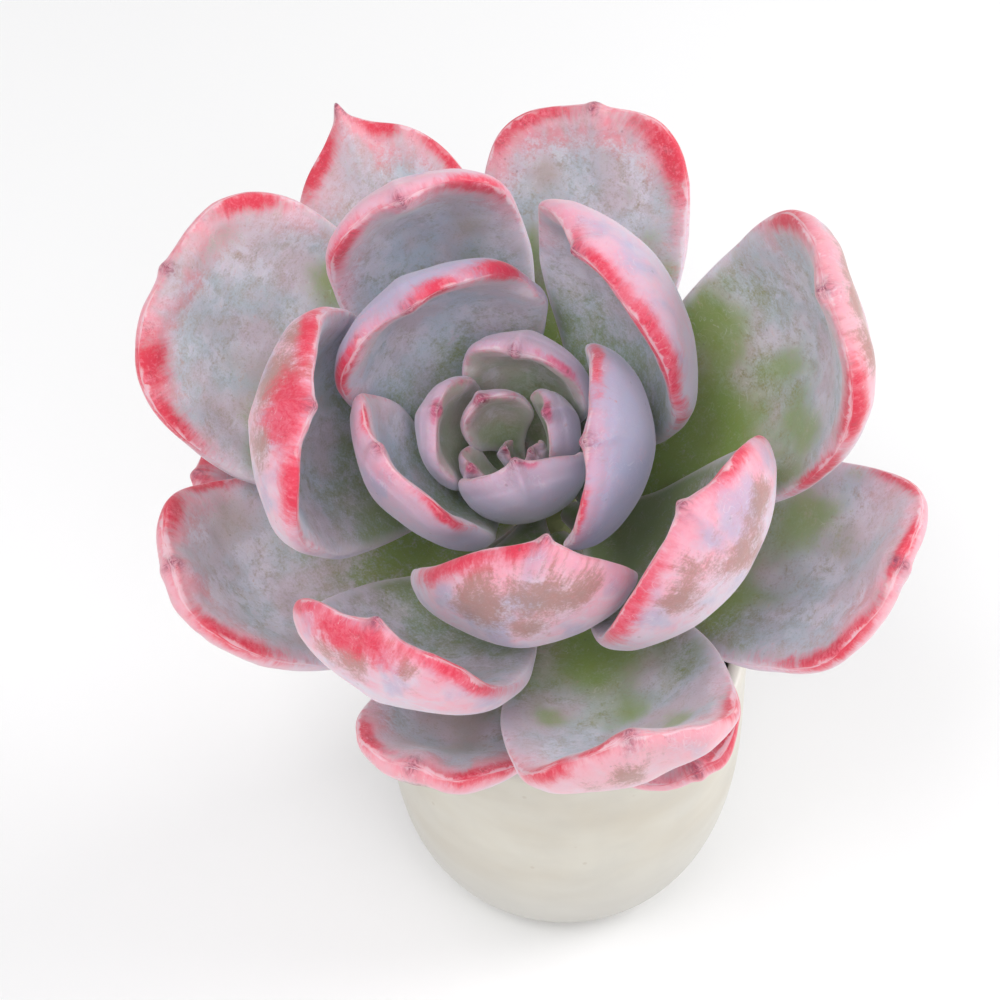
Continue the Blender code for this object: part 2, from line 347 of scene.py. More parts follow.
# Each kind: how many, sizes in mm, how flat, darkest and lightest colour
GRAIN_KINDS = {
    "pumice": (260, (0.5, 1.15), 0.35, (176, 164, 146), (206, 197, 180)),
    "perlite": (110, (0.4, 0.8), 0.25, (226, 222, 214), (244, 242, 238)),
    "bark": (170, (0.6, 1.6), 0.6, (64, 44, 32), (104, 74, 52)),
}
HUMUS_DARK = (38, 27, 21)
HUMUS_LIGHT = (92, 70, 52)
HUMUS_DRY = (66, 52, 42)
mix_random = np.random.default_rng(41)


def mix_height(x, y):
    """The top of the mix: a low dome with lumps."""
    out = min(1.0, hypot(x, y) / inner_radius(MIX_EDGE))
    dome = between(MIX_HIGH.z, MIX_EDGE, out**2.5)
    lumps = noise.fractal(Vector((x, y, 0)) * 260, 1.0, 2.0, 4)
    return dome - 0.5 * MM + lumps * 0.45 * MM


def mix_profile():
    edge = inner_radius(MIX_EDGE) - 0.3 * MM
    top = [(edge * i / 44, MIX_EDGE) for i in range(45)]
    side = [between(MIX_EDGE, MIX_LOW.z, (i / 16) ** 0.8) for i in range(1, 17)]
    return top + [(inner_radius(height) - 0.48 * MM, height) for height in side] + [(0.0, MIX_LOW.z)]


def humus():
    """Dark, damp humus between the grains."""
    soil = Finish("humus", Specular_IOR_Level=0.3)
    point = soil.node("ShaderNodeTexCoord", output="Object")
    crumbs = soil.noise(point, 900, 5, 0.65)
    patches = soil.noise(point, 140, 3)
    colour = soil.mix(soil.ramp(crumbs, 0.3, 0.7), HUMUS_DARK, HUMUS_LIGHT)
    colour = soil.mix(soil.ramp(patches, 0.45, 0.7, 0.0, 0.6), colour, HUMUS_DRY)
    return soil.wear(colour, soil.ramp(patches, 0.3, 0.7, 0.75, 0.95), [(crumbs, 0.8, 0.5 * MM)])


def grain_stuff(name, dark, light):
    """One kind of grain: each grain has its own tone, with fine pits."""
    stuff = Finish(name, Specular_IOR_Level=0.3)
    tone = stuff.attribute("grain_tone")[0]
    point = stuff.node("ShaderNodeTexCoord", output="Object")
    pits = stuff.noise(point, 2600, 3, 0.7)
    colour = stuff.mix((tone + stuff.ramp(pits, 0.3, 0.7, -0.2, 0.2)).clamped(), dark, light)
    return stuff.wear(colour, stuff.ramp(pits, 0.3, 0.7, 0.7, 0.95), [(pits, 0.7, 0.2 * MM)])


def vector_attribute(mesh, name, rows):
    made = mesh.attributes.new(name, "FLOAT_VECTOR", "POINT")
    made.data.foreach_set("vector", np.asarray(rows, np.float32).ravel())


def grains_mesh(name, count, sizes, flat):
    """Rough little stones or chips, each half sunk in the top of the mix."""
    shape = bmesh.new()
    tones = []
    for _ in range(count):
        out = (inner_radius(MIX_EDGE) - 0.9 * MM) * sqrt(mix_random.uniform(0, 1))
        turn = mix_random.uniform(0, 2 * pi)
        x, y = out * cos(turn), out * sin(turn)
        size = mix_random.uniform(*sizes) * MM
        lie = Matrix.Rotation(mix_random.uniform(0, 2 * pi), 4, "Z")
        tilt = Matrix.Rotation(mix_random.uniform(-0.6, 0.6), 4, "X")
        swell = Matrix.Diagonal((size, size * mix_random.uniform(0.6, 1), size * (1 - flat), 1))
        place = Matrix.Translation((x, y, mix_height(x, y) + size * 0.2))
        grain = bmesh.ops.create_icosphere(shape, subdivisions=2, radius=1, matrix=place @ lie @ tilt @ swell)
        seed = Vector(mix_random.uniform(0, 50, 3))
        for vertex in grain["verts"]:
            out_from = vertex.co - place.translation
            vertex.co += out_from * 0.45 * noise.noise(out_from / size * 1.3 + seed)
        tones += [mix_random.uniform(0, 1)] * len(grain["verts"])
    mesh = bpy.data.meshes.new(name)
    shape.to_mesh(mesh)
    shape.free()
    vector_attribute(mesh, "grain_tone", [(tone, 0, 0) for tone in tones])
    return mesh


mix_mesh = turned_mesh("mix_turned", mix_profile(), MIX_SIDES)
for vertex in mix_mesh.vertices:
    if vertex.co.z > MIX_EDGE - 0.1 * MM:
        vertex.co.z = mix_height(vertex.co.x, vertex.co.y)
placed("packed_mix", mix_mesh, "root", ["potting_mix"], humus())
for kind, (count, sizes, flat, dark, light) in GRAIN_KINDS.items():
    mesh = grains_mesh(f"{kind}_grains", count, sizes, flat)
    placed(f"{kind}_grains", mesh, "root", [], grain_stuff(kind, dark, light))


# --- Stem ------------------------------------------------------------------------------------
# A short thick stem, corky and brown below, pale green under the leaves. Each leaf that it has
# shed left a crescent scar. It rises from the mix and turns to carry the rosette's tilted crown.

STEM_FOOT = Vector((-0.5, 8.0, 37.5)) * MM
STEM_BEND = Vector((-0.5, 8.5, 55.0)) * MM
CROWN = Vector((-2.5, 9.0, 66.0)) * MM
AXIS = Vector((-0.200, -0.300, 0.932)).normalized()
STEM_RADIUS = 5.0 * MM
CROWN_RISE = 20.0 * MM
CROWN_RADIUS = 6.1 * MM
TIP_RADIUS = 0.7 * MM
CROWN_START = 2 * MM
CROWN_PULL = 7 * MM
GOLDEN_ANGLE = 137.5
SCAR_STEP = 1.1 * MM
STEM_SIDES = 72
CORK_DARK = (96, 74, 54)
CORK_LIGHT = (164, 140, 108)
CORK_PALE = (190, 172, 140)
STEM_GREEN = (140, 148, 104)


def joint_radius(rise):
    """How far from the crown's axis a leaf joins, at this height above the lowest leaf."""
    left = max(0.0, 1 - rise / CROWN_RISE)
    return TIP_RADIUS + (CROWN_RADIUS - TIP_RADIUS) * left**0.8


def stem_rings():
    """Centre, radius and length so far of each ring, from the foot to the top of the crown."""
    start = CROWN - AXIS * CROWN_START
    before = start - AXIS * CROWN_PULL
    rings = []
    for i in range(60):
        t = i / 60
        ends = STEM_FOOT * (1 - t) ** 3 + start * t**3
        pull = STEM_BEND * 3 * t * (1 - t) ** 2 + before * 3 * t * t * (1 - t)
        rings.append((ends + pull, STEM_RADIUS))
    for i in range(45):
        rise = between(-CROWN_START, CROWN_RISE - TIP_RADIUS, i / 44)
        rings.append((CROWN + AXIS * rise, joint_radius(max(rise, 0.0)) - 0.6 * MM))
    return rings


def scar_relief(length, turn):
    """How far a scar stands out here: a crescent ledge with a hollow above it."""
    relief = 0.0
    for i in range(int(length / SCAR_STEP) - 3, int(length / SCAR_STEP) + 5):
        beside = ((turn - radians(GOLDEN_ANGLE) * i + pi) % (2 * pi) - pi) * STEM_RADIUS
        above = length - i * SCAR_STEP - 0.35 * MM * cos(beside / (2.2 * MM))
        near = exp(-((beside / (2.4 * MM)) ** 2))
        relief += near * exp(-((above / (0.42 * MM)) ** 2)) * 0.42 * MM
        relief -= near * exp(-(((above - 0.9 * MM) / (0.5 * MM)) ** 2)) * 0.22 * MM
    return relief


def stem_mesh():
    shape = bmesh.new()
    across = Vector((1, 0, 0))
    rings, length, last = [], 0.0, STEM_FOOT
    centres = stem_rings()
    for k, (centre, radius) in enumerate(centres):
        length += (centre - last).length
        last = centre
        ahead = (centres[min(k + 1, len(centres) - 1)][0] - centres[max(k - 1, 0)][0]).normalized()
        right = (across - ahead * across.dot(ahead)).normalized()
        forward = ahead.cross(right)
        ring = []
        for i in range(STEM_SIDES):
            turn = 2 * pi * i / STEM_SIDES
            out = right * cos(turn) + forward * sin(turn)
            wrinkle = noise.fractal(Vector((turn * 3, length * 900, 4)), 1.0, 2.0, 3) * 0.16 * MM
            size = radius + min(scar_relief(length, turn) + wrinkle, 0.5 * MM)
            ring.append(shape.verts.new(centre + out * max(size, 0.2 * MM)))
        rings.append(ring)
    for low, high in zip(rings, rings[1:]):
        for i in range(STEM_SIDES):
            j = (i + 1) % STEM_SIDES
            shape.faces.new((low[i], low[j], high[j], high[i]))
    shape.faces.new(reversed(rings[0]))
    shape.faces.new(rings[-1])
    mesh = bpy.data.meshes.new("stem_grown")
    shape.to_mesh(mesh)
    shape.free()
    return mesh


def cork():
    """Dry brown cork that passes into green skin near the crown, with pale scars."""
    bark = Finish("cork", Specular_IOR_Level=0.3)
    point = bark.node("ShaderNodeTexCoord", output="Object")
    height = bark.node("ShaderNodeSeparateXYZ", None, {"Vector": point}, "Z")
    fibre = bark.noise(bark.stretched(point, (1.0, 1.0, 0.25)), 1300, 4, 0.65)
    patches = bark.noise(point, 240, 4)
    colour = bark.mix(bark.ramp(fibre, 0.3, 0.7), CORK_DARK, CORK_LIGHT)
    colour = bark.mix(bark.ramp(patches, 0.5, 0.7, 0.0, 0.7), colour, CORK_PALE)
    green = bark.ramp(height + patches * 0.006, 0.060, 0.072)
    colour = bark.mix(green, colour, STEM_GREEN)
    return bark.wear(colour, bark.ramp(fibre, 0.2, 0.8, 0.65, 0.9), [(fibre, 0.6, 0.25 * MM)])


placed("corky_stem", stem_mesh(), "root", ["stem"], cork())


# --- Outer leaves ----------------------------------------------------------------------------
# The oldest leaves: broad, thick spoons that lie almost level. Their flesh is olive green to
# red-brown under a coat of pale waxy bloom, which is rubbed off in places. The sun has turned
# the margins pink and the ridge round the tip bright red.

LEAF_COUNT = 28
YOUNGEST_AZIMUTH = 196.0
LEAF_THICKNESS = 4.6 * MM
BASE_THICKNESS = 1.5 * MM
WIDEST = 0.62
STALK_SHARE = 0.42  # share of the margin, on each side, that runs along the stalk
BASE_SHARE = 0.4
MIDRIB_REACH = 1.2
MIDRIB_STEPS = 240
RIM_THICKNESS = 3.1 * MM
ROUND_STEPS = 60  # steps round the margin, from one side of the base over the tip to the other
FACE_RINGS = (0.0, 0.14, 0.28, 0.42, 0.55, 0.67, 0.78, 0.88, 0.96)
# The rim's section, from the inner face to the back, as (distance in from the ridge, depth under
# the inner face) in shares of the rim's thickness. The ridge is the point with no inset.
RIM_SECTION = (
    (1.10, -0.05), (0.86, -0.05), (0.66, -0.01), (0.46, 0.06), (0.26, 0.14), (0.09, 0.23), (0.0, 0.33),
    (-0.02, 0.45), (0.03, 0.60), (0.14, 0.76), (0.32, 0.92), (0.58, 1.05), (0.92, 1.16),
)
RIDGE = 6  # the ridge's place in that list
MILKY_BLOOM = (228, 224, 238)
WORN_BACK = (156, 116, 98)
PALE_EDGE = (226, 220, 232)
FLAKED_PINK = (236, 220, 230)
FLAKED_RED = (234, 150, 168)
DUSKY_ROSE = (170, 96, 104)
RIM_BLOOM_AND_HIGHLIGHT = (236, 226, 234)
SCRATCHED_BLOOM = (236, 232, 234)
DARK_DOT = (104, 92, 88)
HARD_POINT = (142, 66, 92)
PLAIN_LOOKS = dict(
    notch=0.5, power=2.8, stalk=0.9, blush=0.6, flush=0.6, rubbed=0.4, red=(), green=(), rust=(), brown=()
)

# Each leaf: its growth as in the frame, then its looks.
# growth: turn off the spiral, length, half width, slope at base and at tip, lean, point.
# notch: how far the tip is drawn in, in mm. power: how square the outline is. stalk: the lower
# it is, the broader the base. blush: how pink the margin is. flush: how pink the back is.
# rubbed: how little bloom there is. red: stretches of red along the margin, as (turn, spread,
# mm in from the ridge, reach in mm). green and rust, on the inner face, and brown, on the back:
# spots with the bloom rubbed off, as (side from -1 to 1, share along, radius in mm).
OUTER_LEAVES = {
    1: ((-12, 45, 10.0, 3, 50, 0, 1.5), dict(blush=0.8, red=((0.3, 0.4, 0.4, 2.0),), rust=((0, 0.6, 9),))),
    2: ((5, 46, 12.0, 6, 50, 0, 1.5), dict(blush=1.0, red=((-0.3, 0.4, 0.4, 2.4),), rust=((0, 0.6, 9),))),
    3: ((0, 31, 11.0, 8, 60, 0, 1.5), dict(blush=0.7, red=((0.1, 0.3, 0.4, 1.5),), rust=((0, 0.6, 9),))),
    4: ((-4, 48, 12.5, 7, 76, 0, 1.5), dict(
        notch=0.6, blush=0.9, rubbed=0.6, red=((-0.24, 0.16, 0.8, 1.2), (0.24, 0.24, 0.2, 1.4)),
        rust=((0, 0.6, 8), (0.2, 0.78, 5)), brown=((0, 0.9, 4),))),
    5: ((3, 58, 14.5, 10, 36, -6, 4.5), dict(
        notch=0.0, power=2.2, blush=1.0, rubbed=0.5,
        red=((-0.12, 0.1, 0.6, 1.6), (0.14, 0.14, 0.5, 1.8), (-0.4, 0.14, 0.3, 1.2)),
        rust=((-0.1, 0.72, 5), (0.4, 0.5, 6)), green=((0.1, 0.45, 5),))),
    6: ((-5, 57, 15.5, 13, 56, 0, 1.5), dict(
        blush=0.6, red=((-0.28, 0.24, 0.4, 1.5), (0.36, 0.14, 0.0, 1.1), (0.05, 0.1, 0.2, 0.8)),
        green=((0.45, 0.62, 5), (0.0, 0.4, 9)), rust=((0.3, 0.75, 4),))),
    7: ((-2, 56, 15.5, 14, 84, 0, 1.5), dict(
        blush=0.8, red=((0.28, 0.2, 0.5, 1.4), (-0.2, 0.14, 0.6, 1.8), (-0.45, 0.12, 0.0, 1.2)),
        rust=((-0.62, 0.74, 5), (0.75, 0.65, 3)), green=((0.8, 0.55, 3),))),
    8: ((10, 52, 15.0, 18, 56, 0, 1.5), dict(
        notch=0.9, power=3.4, blush=1.0, rubbed=0.6, red=((-0.28, 0.24, 0.7, 2.4), (0.22, 0.22, 0.3, 1.6)),
        rust=((0.45, 0.82, 4),), green=((-0.66, 0.52, 5.5), (0.7, 0.55, 4), (0.0, 0.35, 10)))),
    9: ((-2, 60, 15.5, 16, 80, 3, 1.5), dict(
        notch=0.4, blush=0.7, rubbed=0.3,
        red=((-0.26, 0.16, -0.2, 1.7), (-0.06, 0.08, 0.9, 1.2), (0.36, 0.12, 0.2, 1.1)),
        green=((-0.55, 0.58, 2.2), (0.1, 0.62, 2.4), (0.0, 0.42, 8), (0.45, 0.78, 3)),
        brown=((-0.1, 0.93, 3.5),))),
    10: ((2, 61, 19.5, 22, 72, 0, 1.5), dict(
        notch=2.4, blush=0.8, rubbed=0.6,
        red=((-0.27, 0.13, 0.8, 1.5), (0.24, 0.12, 1.2, 3.0), (0.42, 0.12, 0.2, 1.6)),
        rust=((-0.45, 0.92, 3.5), (0.35, 0.6, 6)), green=((-0.7, 0.6, 4), (0.78, 0.55, 3.6)))),
    11: ((0, 65, 18.5, 23, 102, -4, 1.5), dict(
        notch=1.8, stalk=0.5, blush=0.8, rubbed=0.5,
        red=((0.27, 0.15, 0.4, 1.7), (-0.3, 0.17, -0.4, 2.2), (-0.54, 0.1, -0.6, 1.4)),
        rust=((-0.3, 0.9, 2.5), (0.2, 0.9, 2.5)), green=((-0.62, 0.62, 5), (0.5, 0.48, 6), (-0.2, 0.4, 8)),
        brown=((0.25, 0.9, 4.5), (-0.1, 0.94, 3), (-0.45, 0.93, 3)))),
}


class Leaf:
    """One leaf: a thick spoon that leaves the crown at its own slope and curls in at the tip."""

    def __init__(self, number, growth, looks):
        turn, length, half_width, base_slope, tip_slope, lean, point = growth
        index = number - 1
        age = index / (LEAF_COUNT - 1)
        azimuth = radians(YOUNGEST_AZIMUTH + GOLDEN_ANGLE * (LEAF_COUNT - 1 - index) + turn)
        self.number = number
        self.looks = looks
        self.rise = (0.6 + 0.6 * index + 0.0033 * index * index) * MM
        self.length = length * MM
        self.half_width = half_width * MM
        self.base_slope = radians(base_slope)
        self.tip_slope = radians(tip_slope)
        self.lean = lean * MM
        self.point = point * MM
        self.cup = radians(26 + 34 * smooth_step(age * 1.12))
        self.pinch = 1.4 * MM * smooth_step(1.3 - 1.4 * age)
        self.size = 1 - 0.7 * age**3
        self.thickness = LEAF_THICKNESS * self.size
        self.rim = RIM_THICKNESS * self.size
        right = (Vector((1, 0, 0)) - AXIS * AXIS.x).normalized()
        self.outward = right * cos(azimuth) + AXIS.cross(right) * sin(azimuth)
        self.across = AXIS.cross(self.outward)
        self.foot = CROWN + AXIS * self.rise + self.outward * joint_radius(self.rise)
        self.midrib = self.trace_midrib()

    def slope(self, along):
        curl = 0.3 * along + 0.7 * smooth_step((along - 0.45) / 0.55)
        return between(self.base_slope, self.tip_slope, curl)

    def trace_midrib(self):
        """Distance out from the crown and height along its axis, at even steps along the midrib."""
        out, up = 0.0, 0.0
        trace = [(out, up)]
        step = MIDRIB_REACH / MIDRIB_STEPS
        for i in range(MIDRIB_STEPS):
            angle = self.slope(step * (i + 0.5))
            out += cos(angle) * self.length * step
            up += sin(angle) * self.length * step
            trace.append((out, up))
        return trace

    def midrib_at(self, along):
        place = max(along, 0.0) / MIDRIB_REACH * MIDRIB_STEPS
        i = min(int(place), MIDRIB_STEPS - 1)
        (out_a, up_a), (out_b, up_b) = self.midrib[i : i + 2]
        return between(out_a, out_b, place - i), between(up_a, up_b, place - i)

    def wander(self, run, row, pace):
        """Slow waves along the margin, different in each leaf and each row."""
        return noise.noise(Vector((run * pace, self.number * 3.7, row)))

    def margin(self, turn):
        """Side and along of the ridge: turn is -1 and 1 at the base's two sides, 0 at the tip."""
        low = (1 - abs(turn)) / STALK_SHARE
        if low < 1:
            base = BASE_SHARE * joint_radius(self.rise)
            side = between(base, self.half_width, smooth_step(low) ** self.looks["stalk"])
            along = WIDEST * low
        else:
            angle = pi / 2 * (1 - abs(turn) / (1 - STALK_SHARE))
            power = 2 / self.looks["power"]
            side = self.half_width * cos(angle) ** power
            along = WIDEST + (1 - WIDEST) * sin(angle) ** power
        free = smooth_step(along / 0.5)
        side *= 1 + 0.07 * free * self.wander(turn, 1.0, 1.9)
        along += 0.022 * free * self.wander(turn, 2.0, 2.4)
        width = side / self.half_width
        near_tip = smooth_step((along - 0.72) / 0.28)
        along += 0.6 * self.point / self.length * exp(-((width / 0.22) ** 2)) * near_tip
        along += 0.5 * self.point / self.length * exp(-((side / (0.8 * MM)) ** 2)) * near_tip
        hollow = exp(-((width / 0.55) ** 2)) - 0.55 * exp(-((width / 0.9) ** 2))
        along -= self.looks["notch"] * MM / self.length * hollow * near_tip
        return (side if turn >= 0 else -side), along

    def spine(self, turn):
        """Where the line that leads in from the margin meets the midrib."""
        low = (1 - abs(turn)) / STALK_SHARE
        if low < 1:
            return WIDEST * low
        return between(WIDEST, 0.78, sin(pi / 2 * (1 - abs(turn) / (1 - STALK_SHARE))))

    def place(self, side, along, depth, lift):
        """The point this far under the inner face at these blade coordinates."""
        spread = smooth_step(along / 0.45) * (1 - 0.4 * smooth_step((along - 0.7) / 0.3))
        bend = max(self.cup * spread, 1e-4) / self.half_width
        turn = bend * side
        across = sin(turn) / bend + self.lean * along**2 + sin(turn) * depth
        inward = (1 - cos(turn)) / bend + lift - cos(turn) * depth
        out, up = self.midrib_at(along)
        angle = self.slope(along)
        out -= sin(angle) * inward
        up += cos(angle) * inward
        return self.foot + self.outward * out + AXIS * up + self.across * across

    def section(self, reach, along):
        """Rows of (share of the way out, depth, distance past the ridge) over the face, rim and back.

        The distance is measured along the surface: positive on the inner face, negative on the back.
        """
        grown = smooth_step(along / 0.42)
        rim = between(0.5, 1.0, grown) * min(self.rim, 0.4 * reach)
        flesh = between(min(BASE_THICKNESS, self.thickness), self.thickness, grown)
        flesh = max(flesh, rim * 1.2)
        inset, depth = RIM_SECTION[0]
        start = reach - inset * rim
        rows = [(share * start, depth * rim * smooth_step(share)) for share in FACE_RINGS]
        rows += [(reach - inset * rim, depth * rim) for inset, depth in RIM_SECTION]
        inset, depth = RIM_SECTION[-1]
        stop = reach - inset * rim
        for share in reversed(FACE_RINGS):
            swell = sqrt(1 - share**2.4) - 0.25 * share**8 * (1 - share)
            rows.append((share * stop, between(depth * rim, flesh, swell)))
        travel = [0.0]
        for (x_a, z_a), (x_b, z_b) in zip(rows, rows[1:]):
            travel.append(travel[-1] + hypot(x_b - x_a, z_b - z_a))
        ridge = travel[len(FACE_RINGS) + RIDGE]
        return [(x / reach, z, ridge - t) for (x, z), t in zip(rows, travel)]


def spot_strength(spots, width, along, length):
    """How strongly these spots show at a place: 1 in the middle of one, fading unevenly to 0."""
    strength = 0.0
    for side, share, radius in spots:
        uneven = 1 + 0.9 * noise.noise(Vector((width * 4, along * 9, radius + 5 * side)))
        away = hypot((width - side) * 16, (along - share) * length / MM) / radius * uneven
        strength = max(strength, exp(-away * away))
    return strength


def red_strength(stretches, turn, rim):
    """How strongly these stretches of red show at a place near the ridge."""
    strength = 0.0
    for middle, spread, inward, reach in stretches:
        along = (turn - middle) / spread
        across = (rim / MM - inward) / (1.25 * reach)
        strength = max(strength, exp(-along * along - across * across))
    return strength


def leaf_mesh(leaf):
    """Sections set side by side round the margin. The two halves meet along the midrib."""
    steps = [i / ROUND_STEPS for i in range(-ROUND_STEPS, ROUND_STEPS + 1)]
    turns = [0.3 * t + 0.7 * abs(t) * t for t in steps]
    shape = bmesh.new()
    places, edges, forms, spots, looks, columns = [], [], [], [], [], []
    run = 0.0
    last = leaf.margin(turns[0])
    seed = leaf.number * 17.0
    for turn in turns:
        side, along = leaf.margin(turn)
        middle = leaf.spine(turn)
        reach = hypot(side, (along - middle) * leaf.length)
        run += hypot(side - last[0], (along - last[1]) * leaf.length)
        last = (side, along)
        column = []
        for k, (share, depth, rim) in enumerate(leaf.section(reach, along)):
            x = side * share
            u = middle + (along - middle) * share
            width = x / leaf.half_width
            back = k > len(FACE_RINGS) + RIDGE
            grown = smooth_step(u / 0.3)
            free = smooth_step((share - 0.3) / 0.7) * smooth_step((u - 0.35) / 0.4)
            wave = leaf.wander(turn + 9, 5.0, 2.6) * 2.2 * MM * free * leaf.size
            tip = exp(-((width / 0.20) ** 2)) * smooth_step((u - 0.72) / 0.28)
            dent = noise.fractal(Vector((x * 130, u * leaf.length * 130, seed + 3 * back)), 1.0, 2.0, 3)
            depth += dent * 0.4 * MM * grown * leaf.size
            if back:
                keel = exp(-((width / 0.15) ** 2)) * smooth_step((u - 0.5) / 0.4)
                depth += 0.7 * MM * keel * leaf.size
            else:
                valley = exp(-((width / 0.22) ** 2)) * smooth_step((u - 0.1) / 0.3) * (1 - share**2)
                depth += 0.35 * MM * valley * leaf.size
            column.append(shape.verts.new(leaf.place(x, u, depth, leaf.pinch * tip + wave)))
            mucro = exp(-((x / (1.0 * MM)) ** 2) - (rim / (1.3 * MM)) ** 2) * smooth_step((u - 0.8) / 0.1)
            green = rust = brown = 0.0
            if back:
                brown = spot_strength(leaf.looks["brown"], width, u, leaf.length)
            else:
                green = spot_strength(leaf.looks["green"], width, u, leaf.length)
                rust = spot_strength(leaf.looks["rust"], width, u, leaf.length)
            thin_line = 0.4 * smooth_step((u - 0.5) / 0.3) * exp(-((rim / (0.9 * MM)) ** 2))
            red = max(red_strength(leaf.looks["red"], turn, rim), thin_line)
            places.append((x / MM, u * leaf.length / MM, seed + 5 * back))
            edges.append((run / MM, rim / MM, seed))
            forms.append((u, mucro, red))
            spots.append((green, rust, brown))
            looks.append((leaf.looks["blush"], leaf.looks["flush"], leaf.looks["rubbed"]))
        columns.append(column)
    for left, right in zip(columns, columns[1:] + columns[:1]):
        for k in range(len(left) - 1):
            shape.faces.new((left[k], right[k], right[k + 1], left[k + 1]))
    mesh = bpy.data.meshes.new(f"leaf_{leaf.number:02d}_grown")
    shape.to_mesh(mesh)
    shape.free()
    vector_attribute(mesh, "leaf_place", places)
    vector_attribute(mesh, "leaf_edge", edges)
    vector_attribute(mesh, "leaf_form", forms)
    vector_attribute(mesh, "leaf_spots", spots)
    vector_attribute(mesh, "leaf_looks", looks)
    shape = bmesh.new()
    shape.from_mesh(mesh)
    bmesh.ops.remove_doubles(shape, verts=shape.verts, dist=0.002 * MM)
    bmesh.ops.recalc_face_normals(shape, faces=shape.faces)
    shape.to_mesh(mesh)
    shape.free()
    return mesh


